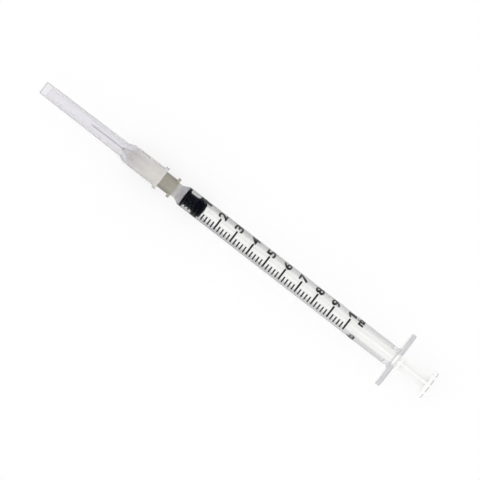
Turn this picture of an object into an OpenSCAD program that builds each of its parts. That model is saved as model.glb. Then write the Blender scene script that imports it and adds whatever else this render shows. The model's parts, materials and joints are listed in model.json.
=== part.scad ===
// Hypodermic syringe of one millilitre with a slip nozzle, a push-on needle and the needle's cap in place.
// Units are millimetres. X is the barrel's axis: the needle points towards -X, the thumb pushes from +X.
// The origin is the centre of the nozzle's end face. The finger flange is long along Y, the scale faces +Z.

/* [Barrel] */
// Diameter of the bore that the stopper slides in
bore_d = 4.68; // [4.1:0.02:5.7]
// Thickness of the barrel's wall
barrel_wall = 0.81; // [0.7:0.01:1.2]
// Length of the bore from the zero line to the last line of the scale
scale_len = 58.2; // [48:0.1:72]
// Length of the bore between its closed end and the zero line
zero_gap = 0.8; // [0.6:0.05:1.5]
// Length of barrel from the last line to the finger flange
grip_room = 16.7; // [13:0.1:24]
// Thickness of the wall that closes the bore, measured from the foot of the nozzle
front_wall = 2.0; // [1.9:0.05:3]
// Length of the sloped shoulder between nozzle and barrel
shoulder_len = 1.8; // [1:0.05:1.9]
// How far the retaining bead near the rear mouth stands out of the bore
bead_h = 0.09; // [0.04:0.01:0.15]
// Length of the retaining bead along the bore
bead_len = 0.9; // [0.7:0.05:1.5]
// Distance from the bead's middle to the front face of the flange
bead_inset = 1.75; // [1:0.05:4]
// Width of the chamfer round the rear mouth
mouth_chamfer = 0.5; // [0.2:0.05:0.7]

/* [Slip nozzle] */
// Diameter of the nozzle at its tip
luer_tip_d = 3.95; // [3.6:0.01:4.75]
// Growth of the nozzle's diameter along its length, as a share of that length
luer_taper_share = 0.06; // [0.05:0.005:0.07]
// Length of the nozzle
nozzle_len = 7.5; // [6.8:0.1:9]
// Diameter of the fluid path through the nozzle
nozzle_bore_d = 1.2; // [1:0.05:1.4]
// Chamfer round the nozzle's tip
nozzle_chamfer = 0.2; // [0.1:0.05:0.4]
// Diameter of the funnel where it opens into the bore
funnel_d = 2.6; // [1.6:0.1:3.4]
// Depth of the funnel
funnel_len = 1.2; // [0.6:0.1:1.6]

/* [Finger flange] */
// How far each wing stands out of the barrel's side
wing_len = 5.85; // [5.2:0.05:9]
// How far the flange stands out above and below the barrel
flange_side = 1.65; // [1.3:0.05:3]
// Thickness of the flange
flange_t = 1.4; // [1.1:0.05:2]
// Radius of the flange's four corners
flange_corner_r = 3.0; // [2:0.1:3.8]
// Radius of the rounded edges of the flange
flange_edge_r = 0.35; // [0.1:0.05:0.5]
// Radius of the fillet between barrel and flange
flange_root_r = 1.0; // [0.4:0.1:1.2]

/* [Stopper] */
// Length of the rubber stopper
stopper_len = 6.9; // [6.2:0.1:9]
// Length of the front sealing lip at full diameter
lip_len = 0.7; // [0.5:0.05:1]
// Length of the slope behind the front lip
lip_slope = 0.45; // [0.2:0.05:0.8]
// Length of the rear seal at full diameter, its rounded edge included
rear_seal_len = 2.1; // [1.6:0.1:2.6]
// Length of the slope in front of the rear seal
rear_slope = 0.85; // [0.4:0.05:1]
// Depth of the waist between the two seals
waist_depth = 0.32; // [0.2:0.02:0.5]
// Radius of the rounded front edge
lip_edge_r = 0.18; // [0.1:0.02:0.3]
// Radius of the rounded rear edge
rear_edge_r = 0.9; // [0.4:0.05:1.2]

/* [Plunger rod] */
// Gap between the edges of the rod's ribs and the bore
rib_clear = 0.44; // [0.3:0.02:0.6]
// Gap between the rod's round discs and the bore
disc_clear = 0.29; // [0.2:0.01:0.4]
// Thickness of the ribs where they cross
rib_root_t = 0.95; // [0.7:0.05:1.3]
// Thickness of the ribs at their outer edge
rib_edge_t = 0.7; // [0.5:0.05:1]
// Thickness of the round discs
disc_t = 0.9; // [0.6:0.05:1.4]
// Chamfer round the edges of the discs
disc_chamfer = 0.12; // [0.05:0.01:0.2]
// Length of rod that stands out between flange and thumb rest with the plunger pushed home
rod_out = 10.2; // [8:0.1:16]
// Distance from the barrel's mouth to the rod's rear disc with the plunger pushed home
rear_disc_gap = 0.4; // [0.2:0.1:3]
// Radius of the flare of the ribs under the thumb rest
flare_r = 1.6; // [0.8:0.1:2.2]
// Diameter of the barb's neck
barb_neck_d = 1.5; // [1.2:0.05:1.9]
// Length of the barb's neck
barb_neck_len = 1.6; // [1.4:0.05:2]
// Diameter of the barb's head
barb_head_d = 2.4; // [2:0.05:2.6]
// Length of the barb's head
barb_head_len = 1.7; // [1.2:0.05:2]
// Diameter of the barb's front end
barb_tip_d = 1.1; // [0.8:0.05:1.4]

/* [Thumb rest] */
// Thickness of the thumb rest's plate
thumb_t = 1.0; // [0.9:0.05:1.6]
// How much lower than the flange the thumb rest stays on each side
thumb_drop = 0.15; // [0.1:0.05:1]
// Radius of the rounded edges of the thumb rest
thumb_edge_r = 0.3; // [0.1:0.05:0.4]
// Number of grip ridges across the thumb rest
ridge_count = 4; // [2:1:5]
// Width of each grip ridge
ridge_w = 1.8; // [0.8:0.1:2]
// Distance from one grip ridge to the next
ridge_pitch = 2.55; // [2.2:0.05:3]
// Height of the grip ridges
ridge_h = 0.3; // [0.1:0.05:0.5]
// Distance from the ridges' ends to the rim of the thumb rest
ridge_inset = 0.3; // [0.3:0.05:1]

/* [Needle hub] */
// Length of nozzle inside the hub
luer_engage = 6.1; // [5.2:0.1:6.6]
// Wall of the hub's skirt round the socket's mouth
hub_wall = 0.4; // [0.35:0.01:0.7]
// Depth of the tapered socket
socket_len = 8.1; // [7.6:0.1:10]
// Length of the cone that closes the socket
socket_cone_len = 2.0; // [1:0.1:3]
// Diameter of the hole behind the cannula
socket_hole_d = 1.0; // [0.7:0.05:1.2]
// Length of the hub that the cap leaves bare
hub_show = 4.55; // [3.6:0.05:5.2]
// Span across the two ears
ear_span = 6.6; // [6:0.1:8.2]
// Width of each ear
ear_w = 3.2; // [2:0.1:4]
// Thickness of the ears
ear_t = 0.85; // [0.6:0.05:1.2]
// Height of the step where the skirt enters the cap
hub_step = 0.17; // [0.1:0.01:0.25]
// Length of plain body past the socket's end
hub_body_past = 0.6; // [0.3:0.1:1.5]
// Length of the cone between body and front
hub_cone_len = 1.8; // [1:0.1:3]
// Diameter of the slim front where it starts
hub_front_d = 3.0; // [2.4:0.1:3.4]
// Length of the slim front
hub_front_len = 6.0; // [4.4:0.1:8]
// Narrowing of the slim front's diameter along its length
hub_front_drop = 0.6; // [0.2:0.1:0.8]
// Length of the nose
nose_len = 1.7; // [1:0.1:2.5]
// Diameter of the nose's end face
nose_d = 1.5; // [1.3:0.05:1.8]
// Number of fins that the cap grips
fin_count = 4; // [3:1:6]
// Thickness of the fins
fin_t = 0.6; // [0.4:0.05:0.8]
// How far the fins stand out of the body
fin_h = 0.08; // [0.05:0.01:0.12]
// Length of the slope at the fins' front end
fin_slope = 1.2; // [0.8:0.1:2]

/* [Cannula] */
// Outer diameter of the steel tube
cannula_d = 0.45; // [0.4:0.01:0.6]
// Bore of the steel tube
cannula_bore_d = 0.24; // [0.16:0.01:0.3]
// Length of the tube from the hub's nose to the point
cannula_len = 12.0; // [8:0.1:16]
// Length of the tube inside the hub
cannula_seat = 7.6; // [6.5:0.1:8]
// Angle of the main bevel in degrees
bevel_angle = 13; // [10:1:20]
// Angle of the two side bevels in degrees
side_bevel_angle = 22; // [21:1:30]
// Turn of the two side bevels about the tube in degrees
side_bevel_turn = 40; // [25:1:50]
// Diameter of the glue well in the nose
well_d = 1.0; // [0.8:0.05:1.1]
// Depth of the glue well
well_len = 1.5; // [0.8:0.1:2]
// How far the glue stands out of the nose
glue_out = 0.9; // [0.4:0.1:1.2]
// Thickness of the glue round the tube at the end of its run
glue_end_t = 0.06; // [0.04:0.01:0.1]

/* [Needle cap] */
// Wall of the cap's wide part
cap_wall = 0.57; // [0.45:0.01:0.9]
// Wall of the cap's narrow tube
tube_wall = 0.7; // [0.5:0.05:0.9]
// Bore of the narrow tube at the shoulder
tube_bore_d = 3.1; // [2.8:0.05:3.6]
// Narrowing of the tube's bore towards its tip
tube_drop = 0.45; // [0.2:0.05:0.8]
// How far the rim stands out of the wide part
rim_h = 0.65; // [0.3:0.05:1]
// Thickness of the rim
rim_t = 1.1; // [0.7:0.05:1.4]
// Growth of the wide part's diameter towards the rim
cap_draft = 0.1; // [0.05:0.01:0.2]
// Length of the cap's sloped shoulder
cap_shoulder_len = 1.7; // [1:0.1:2.5]
// Room between the needle's point and the closed end
tip_room = 15.1; // [8:0.1:18]
// Thickness of the closed end
cap_end_t = 2.1; // [1:0.1:3]
// Chamfer round the closed end
cap_end_chamfer = 0.2; // [0.1:0.05:0.3]
// Number of splines inside the cap
spline_count = 8; // [4:4:8]
// Width of each spline
spline_w = 0.4; // [0.3:0.05:0.5]
// Height of each spline
spline_h = 0.3; // [0.15:0.05:0.4]

/* [Clearances] */
// Gap between stopper and bore, all round
seal_clear = 0.02; // [0.01:0.005:0.05]
// Gap between the stopper's front and the bore's end with the plunger home
home_gap = 0.1; // [0.05:0.05:0.3]
// Gap between the barb and its cavity in the stopper
barb_clear = 0.05; // [0.02:0.01:0.1]
// Gap between the stopper's rear face and the rod's front disc
rod_gap = 0.15; // [0.1:0.05:0.3]
// Gap between the nozzle and the hub's socket, all round
luer_clear = 0.02; // [0.01:0.005:0.05]
// Gap between the cannula and its hole in the hub, all round
cannula_clear = 0.01; // [0.005:0.005:0.02]
// Gap between the fins and the cap's bore, all round
fin_clear = 0.045; // [0.02:0.005:0.1]
// Gap between the hub's skirt and the cap's mouth, all round
skirt_clear = 0.1; // [0.05:0.01:0.15]
// Length of the skirt inside the cap's mouth
skirt_inside = 0.95; // [0.6:0.05:1.4]
// Gap between the hub's step and the cap's inner ledge
ledge_gap = 0.25; // [0.1:0.05:0.4]

/* [Hidden] */
// Sides of a drawn circle
round_fn = 72;
// How far a cutting shape runs past the face that it cuts
overrun = 0.5;

// Barrel
bore_r = bore_d / 2;
barrel_r = bore_r + barrel_wall;
luer_tip_r = luer_tip_d / 2;
luer_base_r = luer_tip_r + luer_taper_share * nozzle_len / 2;
shoulder_end_x = nozzle_len + shoulder_len;
bore_end_x = nozzle_len + front_wall;
flange_x = bore_end_x + zero_gap + scale_len + grip_room;
mouth_x = flange_x + flange_t;
bead_x = flange_x - bead_inset - bead_len / 2;
bead_ramp = bead_len / 3;
flange_w = 2 * (barrel_r + wing_len);
flange_h = 2 * (barrel_r + flange_side);

// Stopper and plunger rod
seal_r = bore_r - seal_clear;
waist_r = seal_r - waist_depth;
stopper_x = bore_end_x + home_gap;
stopper_back_x = stopper_x + stopper_len;
rod_face_x = stopper_back_x + rod_gap;
barb_back_x = rod_face_x - barb_neck_len;
barb_front_x = barb_back_x - barb_head_len;
rib_r = bore_r - rib_clear;
disc_r = bore_r - disc_clear;
rear_disc_x = mouth_x + rear_disc_gap;
thumb_x = mouth_x + rod_out;
thumb_r = flange_h / 2 - thumb_drop;

// Needle hub
hub_mouth_x = luer_engage;
socket_mouth_r = luer_tip_r + luer_taper_share * luer_engage / 2 + luer_clear;
socket_end_x = hub_mouth_x - socket_len;
socket_end_r = socket_mouth_r - luer_taper_share * socket_len / 2;
socket_cone_x = socket_end_x - socket_cone_len;
skirt_r = socket_mouth_r + hub_wall;
body_r = skirt_r - hub_step;
cap_mouth_x = hub_mouth_x - hub_show;
hub_step_x = cap_mouth_x - skirt_inside;
hub_cone_x = socket_end_x - hub_body_past;
hub_front_x = hub_cone_x - hub_cone_len;
nose_x = hub_front_x - hub_front_len;
nose_r = nose_d / 2;
nose_start_r = (hub_front_d - hub_front_drop) / 2;
nose_end_x = nose_x - nose_len;
fin_r = body_r + fin_h;

// Cannula and glue
cannula_r = cannula_d / 2;
point_x = nose_end_x - cannula_len;
cannula_back_x = nose_end_x + cannula_seat;
well_r = well_d / 2;
// Where the two side bevels start, so that they meet in the main bevel's point
side_bevel_x = point_x - cannula_r * (1 - cos(side_bevel_turn)) / tan(side_bevel_angle);

// Needle cap
cap_bore_r = fin_r + fin_clear;
cap_r = cap_bore_r + cap_wall;
cap_ledge_x = hub_step_x - ledge_gap;
cap_mouth_r = skirt_r + skirt_clear;
cap_shoulder_x = nose_x - fin_clear;
cap_tube_x = cap_shoulder_x - cap_shoulder_len;
tube_bore_r = tube_bore_d / 2;
tube_r = tube_bore_r + tube_wall;
tube_end_r = tube_bore_r - tube_drop / 2;
cap_inner_end_x = point_x - tip_room;
cap_end_x = cap_inner_end_x - cap_end_t;
spline_front_x = nose_x + fin_slope;
spline_back_x = hub_front_x;

// Turns an outline of [radius, place along X] about the X axis
module turned() {
  rotate([0, 90, 0])
    rotate_extrude($fn = round_fn)
      children();
}

// What lies outside a rounded corner at the origin, for a body towards -x and -y
module corner_waste(r) {
  difference() {
    translate([-r, -r])
      square(r + overrun);
    translate([-r, -r])
      circle(r, $fn = round_fn);
  }
}

// A concave fillet in the corner at the origin, for bodies on the -x and -y sides
module corner_fillet(r) {
  difference() {
    translate([-overrun, -overrun])
      square(r + overrun);
    translate([r, r])
      circle(r, $fn = round_fn);
  }
}

// Section of a plate that is as wide as given, with all four edges rounded
module plate_section(w, t, r) {
  difference() {
    translate([-w / 2, 0])
      square([w, t]);
    for (side = [0, 1])
      mirror([side, 0]) {
        translate([w / 2, t])
          corner_waste(r);
        translate([w / 2, 0])
          mirror([0, 1])
            corner_waste(r);
      }
  }
}

// Right half of that section, to be turned
module half_section(r_out, t, r) {
  intersection() {
    plate_section(2 * r_out, t, r);
    square([r_out, t]);
  }
}

// Plate in the x-y plane with round corners and rounded edges, made of four turned corners and two bars
module rounded_plate(size_x, size_y, t, corner_r, edge_r) {
  for (sx = [-1, 1])
    for (sy = [-1, 1])
      translate([sx * (size_x / 2 - corner_r), sy * (size_y / 2 - corner_r), 0])
        rotate_extrude($fn = round_fn)
          half_section(corner_r, t, edge_r);
  rotate([90, 0, 0])
    linear_extrude(size_y - 2 * corner_r, center = true)
      plate_section(size_x, t, edge_r);
  rotate([90, 0, 90])
    linear_extrude(size_x - 2 * corner_r, center = true)
      plate_section(size_y, t, edge_r);
}

// Outside of nozzle, shoulder and tube, with the fillet in front of the flange
module barrel_outline() {
  polygon([
    [0, 0],
    [luer_tip_r - nozzle_chamfer, 0],
    [luer_tip_r + luer_taper_share * nozzle_chamfer / 2, nozzle_chamfer],
    [luer_base_r, nozzle_len],
    [barrel_r, shoulder_end_x],
    [barrel_r, flange_x + flange_t / 2],
    [0, flange_x + flange_t / 2]
  ]);
  translate([barrel_r, flange_x])
    mirror([0, 1])
      corner_fillet(flange_root_r);
}

// Fluid path, funnel and bore, with the retaining bead and the chamfered mouth
module barrel_void() {
  polygon([
    [0, -overrun],
    [nozzle_bore_d / 2, -overrun],
    [nozzle_bore_d / 2, bore_end_x - funnel_len],
    [funnel_d / 2, bore_end_x],
    [bore_r, bore_end_x],
    [bore_r, bead_x],
    [bore_r - bead_h, bead_x + bead_ramp],
    [bore_r - bead_h, bead_x + bead_len - bead_ramp],
    [bore_r, bead_x + bead_len],
    [bore_r, mouth_x - mouth_chamfer],
    [bore_r + mouth_chamfer, mouth_x],
    [bore_r + mouth_chamfer, mouth_x + overrun],
    [0, mouth_x + overrun]
  ]);
}

module barrel() {
  color([0.85, 0.86, 0.88, 0.5])
    difference() {
      union() {
        turned()
          barrel_outline();
        rotate([0, 90, 0])
          translate([0, 0, flange_x])
            rounded_plate(flange_h, flange_w, flange_t, flange_corner_r, flange_edge_r);
      }
      turned()
        barrel_void();
    }
}

// Two seals and the waist between them, with rounded outer edges
module stopper_outline() {
  difference() {
    polygon([
      [0, 0],
      [seal_r, 0],
      [seal_r, lip_len],
      [waist_r, lip_len + lip_slope],
      [waist_r, stopper_len - rear_seal_len - rear_slope],
      [seal_r, stopper_len - rear_seal_len],
      [seal_r, stopper_len],
      [0, stopper_len]
    ]);
    translate([seal_r, 0])
      mirror([0, 1])
        corner_waste(lip_edge_r);
    translate([seal_r, stopper_len])
      corner_waste(rear_edge_r);
  }
}

// The barb's outline, grown by a gap on every side
module barb_outline(gap) {
  polygon([
    [0, barb_front_x - gap],
    [barb_tip_d / 2 + gap, barb_front_x - gap],
    [barb_head_d / 2 + gap, barb_back_x - barb_head_len / 3],
    [barb_head_d / 2 + gap, barb_back_x + gap],
    [barb_neck_d / 2 + gap, barb_back_x + gap],
    [barb_neck_d / 2 + gap, rod_face_x + gap],
    [0, rod_face_x + gap]
  ]);
}

module stopper() {
  color([0.05, 0.05, 0.08])
    difference() {
      translate([stopper_x, 0, 0])
        turned()
          stopper_outline();
      turned()
        barb_outline(barb_clear);
    }
}

// A round disc on the rod with chamfered edges, its front face at the given place
module rod_disc(x) {
  turned()
    polygon([
      [0, x],
      [disc_r - disc_chamfer, x],
      [disc_r, x + disc_chamfer],
      [disc_r, x + disc_t - disc_chamfer],
      [disc_r - disc_chamfer, x + disc_t],
      [0, x + disc_t]
    ]);
}

// Cross section of the ribs, thinner towards their edges as they leave the mould
module rib_cross(reach) {
  for (turn = [0, 90])
    rotate(turn)
      polygon([
        [-reach, -rib_edge_t / 2],
        [0, -rib_root_t / 2],
        [reach, -rib_edge_t / 2],
        [reach, rib_edge_t / 2],
        [0, rib_root_t / 2],
        [-reach, rib_edge_t / 2]
      ]);
}

// The ribs' envelope: straight, then flared under the thumb rest
module rib_envelope() {
  translate([0, rod_face_x + disc_t / 2])
    square([rib_r, thumb_x - rod_face_x]);
  translate([rib_r, thumb_x])
    mirror([0, 1])
      corner_fillet(flare_r);
}

module grip_ridges() {
  rib_row = ridge_pitch * (ridge_count - 1);
  intersection() {
    turned()
      translate([0, thumb_x + thumb_t / 2])
        square([thumb_r - ridge_inset, thumb_t / 2 + ridge_h]);
    for (i = [0:ridge_count - 1])
      translate([thumb_x, i * ridge_pitch - (rib_row + ridge_w) / 2, -thumb_r])
        cube([thumb_t + 2 * ridge_h, ridge_w, 2 * thumb_r]);
  }
}

module plunger_rod() {
  color([0.96, 0.96, 0.96]) {
    turned()
      barb_outline(0);
    rod_disc(rod_face_x);
    rod_disc(rear_disc_x);
    intersection() {
      translate([rod_face_x, 0, 0])
        rotate([90, 0, 90])
          linear_extrude(thumb_x - rod_face_x + thumb_t / 2)
            rib_cross(rib_r + flare_r);
      turned()
        rib_envelope();
    }
    turned()
      translate([0, thumb_x])
        half_section(thumb_r, thumb_t, thumb_edge_r);
    grip_ridges();
  }
}

// Outside of the hub: skirt, step, body, cone, slim front and nose
module hub_outline() {
  polygon([
    [0, nose_end_x],
    [nose_r, nose_end_x],
    [nose_start_r, nose_x],
    [hub_front_d / 2, hub_front_x],
    [body_r, hub_cone_x],
    [body_r, hub_step_x],
    [skirt_r, hub_step_x],
    [skirt_r, hub_mouth_x],
    [0, hub_mouth_x]
  ]);
}

// Tapered socket, its closing cone, the hole for the tube and the glue well
module hub_void() {
  hole_r = cannula_r + cannula_clear;
  polygon([
    [0, nose_end_x - overrun],
    [well_r, nose_end_x - overrun],
    [well_r, nose_end_x + well_len],
    [hole_r, nose_end_x + well_len],
    [hole_r, cannula_back_x - cannula_r],
    [socket_hole_d / 2, cannula_back_x - cannula_r],
    [socket_hole_d / 2, socket_cone_x],
    [socket_end_r, socket_end_x],
    [socket_mouth_r, hub_mouth_x],
    [socket_mouth_r, hub_mouth_x + overrun],
    [0, hub_mouth_x + overrun]
  ]);
}

// One fin along the hub, standing up from its axis
module hub_fin() {
  translate([0, fin_t / 2, 0])
    rotate([90, 0, 0])
      linear_extrude(fin_t)
        polygon([
          [nose_x, 0],
          [nose_x, nose_start_r],
          [nose_x + fin_slope, fin_r],
          [hub_step_x + hub_step, fin_r],
          [hub_step_x + hub_step, 0]
        ]);
}

module hub_ears() {
  intersection() {
    turned()
      translate([0, hub_mouth_x - ear_t])
        square([ear_span / 2, ear_t]);
    translate([hub_mouth_x - ear_t, -ear_span / 2, -ear_w / 2])
      cube([ear_t, ear_span, ear_w]);
  }
}

module needle_hub() {
  color([0.63, 0.6, 0.54])
    difference() {
      union() {
        turned()
          hub_outline();
        for (i = [0:fin_count - 1])
          rotate([i * 360 / fin_count, 0, 0])
            hub_fin();
        hub_ears();
      }
      turned()
        hub_void();
    }
}

// Everything above a plane that rises along the tube at the given angle from the tube's lowest line
module bevel_waste(angle) {
  side = 2 * cannula_d / sin(angle);
  translate([0, 0, -cannula_r])
    rotate([0, -angle, 0])
      translate([-side / 2, -cannula_d, 0])
        cube([2 * side, 2 * cannula_d, side]);
}

module cannula() {
  color([0.7, 0.7, 0.72])
    difference() {
      turned()
        translate([cannula_bore_d / 2, point_x])
          square([(cannula_d - cannula_bore_d) / 2, cannula_back_x - point_x]);
      translate([point_x, 0, 0])
        bevel_waste(bevel_angle);
      for (side = [-1, 1])
        translate([side_bevel_x, 0, 0])
          rotate([side * side_bevel_turn, 0, 0])
            bevel_waste(side_bevel_angle);
    }
}

module adhesive() {
  inner_r = cannula_r + cannula_clear;
  color([0.45, 0.45, 0.5])
    turned()
      polygon([
        [inner_r, nose_end_x - glue_out],
        [inner_r + glue_end_t, nose_end_x - glue_out],
        [well_r - cannula_clear, nose_end_x - glue_out / 3],
        [well_r - cannula_clear, nose_end_x + well_len - cannula_clear],
        [inner_r, nose_end_x + well_len - cannula_clear]
      ]);
}

// Outside of the cap: tube, shoulder, wide part and rim
module cap_outline() {
  polygon([
    [0, cap_end_x],
    [tube_end_r + tube_wall - cap_end_chamfer, cap_end_x],
    [tube_end_r + tube_wall, cap_end_x + cap_end_chamfer],
    [tube_r, cap_tube_x],
    [cap_r - cap_draft / 2, cap_shoulder_x],
    [cap_r, cap_mouth_x - rim_t],
    [cap_r + rim_h, cap_mouth_x - rim_t],
    [cap_r + rim_h, cap_mouth_x],
    [0, cap_mouth_x]
  ]);
}

// Inside of the cap: tube bore, inner shoulder, bore that grips the fins and wider mouth
module cap_void() {
  polygon([
    [0, cap_inner_end_x],
    [tube_end_r, cap_inner_end_x],
    [tube_bore_r, cap_tube_x],
    [cap_bore_r, cap_shoulder_x],
    [cap_bore_r, cap_ledge_x],
    [cap_mouth_r, cap_ledge_x],
    [cap_mouth_r, cap_mouth_x + overrun],
    [0, cap_mouth_x + overrun]
  ]);
}

module needle_cap() {
  color([0.86, 0.85, 0.87, 0.6]) {
    difference() {
      turned()
        cap_outline();
      turned()
        cap_void();
    }
    for (i = [0:spline_count - 1])
      rotate([(i + 0.5) * 360 / spline_count, 0, 0])
        translate([spline_front_x, -spline_w / 2, cap_bore_r - spline_h])
          cube([spline_back_x - spline_front_x, spline_w, spline_h + cap_wall / 2]);
  }
}

barrel();
stopper();
plunger_rod();
needle_hub();
cannula();
adhesive();
needle_cap();
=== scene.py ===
# %% [markdown]
# A disposable syringe of one millilitre, with its needle on the nozzle and the needle's cap in place.
# The solid parts come ready made in one frame, in metres: X runs along the barrel from the nozzle to the
# thumb rest, the finger flange is long along Y and the scale faces up. This script gives each part its
# finish, adds what is printed or poured on, and sets up a small studio.
#
# The frame could be rebuilt by hand in Blender, but then every clearance would have to be measured twice.
# Loading it keeps one truth for sizes, and everything below is worked out from it.

# %% Load the frame
import json
import math

import bmesh
import bpy
from mathutils import Matrix, Vector


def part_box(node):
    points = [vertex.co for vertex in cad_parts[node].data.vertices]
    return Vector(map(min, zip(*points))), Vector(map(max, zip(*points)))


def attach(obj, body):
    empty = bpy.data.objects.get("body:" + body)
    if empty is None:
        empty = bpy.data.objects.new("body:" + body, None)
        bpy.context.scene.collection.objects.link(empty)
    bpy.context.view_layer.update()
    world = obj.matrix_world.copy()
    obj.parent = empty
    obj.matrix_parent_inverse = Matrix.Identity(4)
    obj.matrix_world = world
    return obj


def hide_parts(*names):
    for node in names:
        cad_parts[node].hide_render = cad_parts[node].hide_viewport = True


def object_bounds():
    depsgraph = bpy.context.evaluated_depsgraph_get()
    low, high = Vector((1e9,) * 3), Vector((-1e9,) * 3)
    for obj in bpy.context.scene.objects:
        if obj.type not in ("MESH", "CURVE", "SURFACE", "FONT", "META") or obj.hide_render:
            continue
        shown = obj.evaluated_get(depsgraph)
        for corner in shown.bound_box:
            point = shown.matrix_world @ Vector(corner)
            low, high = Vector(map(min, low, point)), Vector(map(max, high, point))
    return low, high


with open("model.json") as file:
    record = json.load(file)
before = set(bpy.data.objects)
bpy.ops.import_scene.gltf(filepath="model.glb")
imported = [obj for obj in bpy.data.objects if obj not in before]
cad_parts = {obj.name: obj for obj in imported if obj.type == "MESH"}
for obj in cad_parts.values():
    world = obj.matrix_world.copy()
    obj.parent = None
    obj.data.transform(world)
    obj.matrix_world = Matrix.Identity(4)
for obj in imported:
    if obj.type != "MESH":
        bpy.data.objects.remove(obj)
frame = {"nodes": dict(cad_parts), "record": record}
cad_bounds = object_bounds()

# %% [markdown]
# A few sizes drive the rest. The barrel's radius is one of its mounts, and the stopper's box gives the
# bore, because the stopper runs in it with a known gap. The scale's length isn't free: bore area times
# length has to be one millilitre, so it is computed and not typed.

# %% Sizes from the frame
MM = 0.001
MILLILITRE = 1000 * MM ** 3
SEAL_GAP = 0.02 * MM
ZERO_LINE_IN = 0.7 * MM

mounts = {mount["name"]: mount for mount in frame["record"]["mounts"]}
barrel_r = mounts["barrel"]["dims"]["r_mm"] * MM
flange_x = mounts["flange_front"]["pos_m"][0]
thumb_x = mounts["thumb_rest"]["pos_m"][0]
stopper_lo, stopper_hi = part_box("stopper")
bore_r = stopper_hi.z + SEAL_GAP
scale_x = stopper_lo.x + ZERO_LINE_IN
scale_length = MILLILITRE / (math.pi * bore_r ** 2)
print(f"barrel radius {barrel_r / MM:.2f} mm, bore radius {bore_r / MM:.2f} mm")
print(f"scale {scale_length / MM:.2f} mm long")

# %% [markdown]
# Blender builds materials as graphs of nodes. Making each node takes three or four lines, so one helper
# makes a node, sets its options and fills its inputs: a plain value is stored and a socket is linked.
# The same helper serves Geometry Nodes later.

# %% Node helper
def add_node(tree, kind, inputs=None, **options):
    """Add a node to a tree. Each input is a plain value or the output socket of another node."""
    made = tree.nodes.new(kind)
    for option, value in options.items():
        setattr(made, option, value)
    for key, value in (inputs or {}).items():
        if isinstance(value, bpy.types.NodeSocket):
            tree.links.new(value, made.inputs[key])
        else:
            made.inputs[key].default_value = value
    return made


# %% [markdown]
# A finish is a material round one Principled shader. Its plain numbers, such as gloss and IOR, go
# straight onto the shader. They could come from Value nodes, but a number that is the same everywhere
# needs no node.

# %% Start of a finish
def new_finish(name, values):
    """A material with one Principled shader, its plain numbers set on the shader's own sockets."""
    finish = bpy.data.materials.new(name)
    finish.use_nodes = True
    shader = finish.node_tree.nodes["Principled BSDF"]
    for key, value in values.items():
        shader.inputs[key].default_value = value
    return finish, finish.node_tree, shader


def counted(finish):
    """Say how many nodes a finish took, and hand it on."""
    print(finish.name, "has", len(finish.node_tree.nodes), "nodes")
    return finish


# %% [markdown]
# No surface is quite even, so every finish has some noise. It reads Object coordinates, which are metres
# on these parts, so the grain has a real size and stays where it is when a part moves. A picture of grain
# would need unwrapped surfaces and would repeat. Noise keeps near the middle of 0 to 1, so it is spread
# over the range that is wanted.

# %% Noise of a real size
NOISE_LOW, NOISE_HIGH = 0.3, 0.7
FINE_DETAIL = 5.0


def noise(tree, size, stretch=(1, 1, 1), detail=3.0):
    """Noise with blobs of about the given size in metres, drawn out along an axis by its stretch."""
    place = add_node(tree, "ShaderNodeTexCoord").outputs["Object"]
    squeeze = [1 / (size * along) for along in stretch]
    mapped = add_node(tree, "ShaderNodeMapping", {"Vector": place, "Scale": squeeze})
    cloud = add_node(tree, "ShaderNodeTexNoise",
                     {"Vector": mapped.outputs["Vector"], "Scale": 1.0, "Detail": detail})
    return cloud.outputs["Fac"]


def ramp(tree, value, start, end, low=0.0, high=1.0):
    """Map the value from start...end to low...high and hold it there outside."""
    ranged = add_node(tree, "ShaderNodeMapRange",
                      {"Value": value, "From Min": start, "From Max": end, "To Min": low, "To Max": high})
    return ranged.outputs["Result"]


def spread(tree, value, low=0, high=1):
    """Spread noise, which keeps near the middle of 0 to 1, over the range from low to high."""
    return ramp(tree, value, NOISE_LOW, NOISE_HIGH, low, high)


# %% [markdown]
# Noise then drives colour, roughness and a shallow bump. The bump's depth is a real height too, a few
# thousandths of a millimetre, which is about what a moulding tool leaves.

# %% Colour and bump from a value
def blend(tree, value, a, b):
    """A colour that goes from a to b as the value goes from 0 to 1; each is three numbers or a socket."""
    mixed = add_node(tree, "ShaderNodeMix", {"Factor": value}, data_type="RGBA")
    for socket, colour in ((mixed.inputs["A"], a), (mixed.inputs["B"], b)):
        if isinstance(colour, bpy.types.NodeSocket):
            tree.links.new(colour, socket)
        else:
            socket.default_value = (*colour, 1)
    return mixed.outputs["Result"]


def tint(tree, shader, value, a, b):
    """Let the shader's colour go from a to b with the value."""
    tree.links.new(blend(tree, value, a, b), shader.inputs["Base Color"])


def bump(tree, shader, height, depth):
    """Let the height, from 0 to 1, raise the surface by up to depth in metres."""
    raised = add_node(tree, "ShaderNodeBump", {"Height": height, "Distance": depth, "Strength": 1.0})
    tree.links.new(raised.outputs["Normal"], shader.inputs["Normal"])


# %% [markdown]
# The needle is drawn tube: the die leaves fine lines along it. Lines along X come from noise that is
# stretched a hundredfold in that direction. It drives the colour, the roughness and a very shallow bump.
# The shader's own anisotropy would stretch the highlight too, but shows no lines up close.

# %% Drawn steel
STEEL_DARK = (0.30, 0.30, 0.31)
STEEL_LIGHT = (0.42, 0.42, 0.43)
STEEL_ROUGH = (0.2, 0.38)
DIE_LINE_W = 0.02 * MM
DIE_LINE_STRETCH = (100, 1, 1)
DIE_LINE_DEPTH = 0.001 * MM


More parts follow.
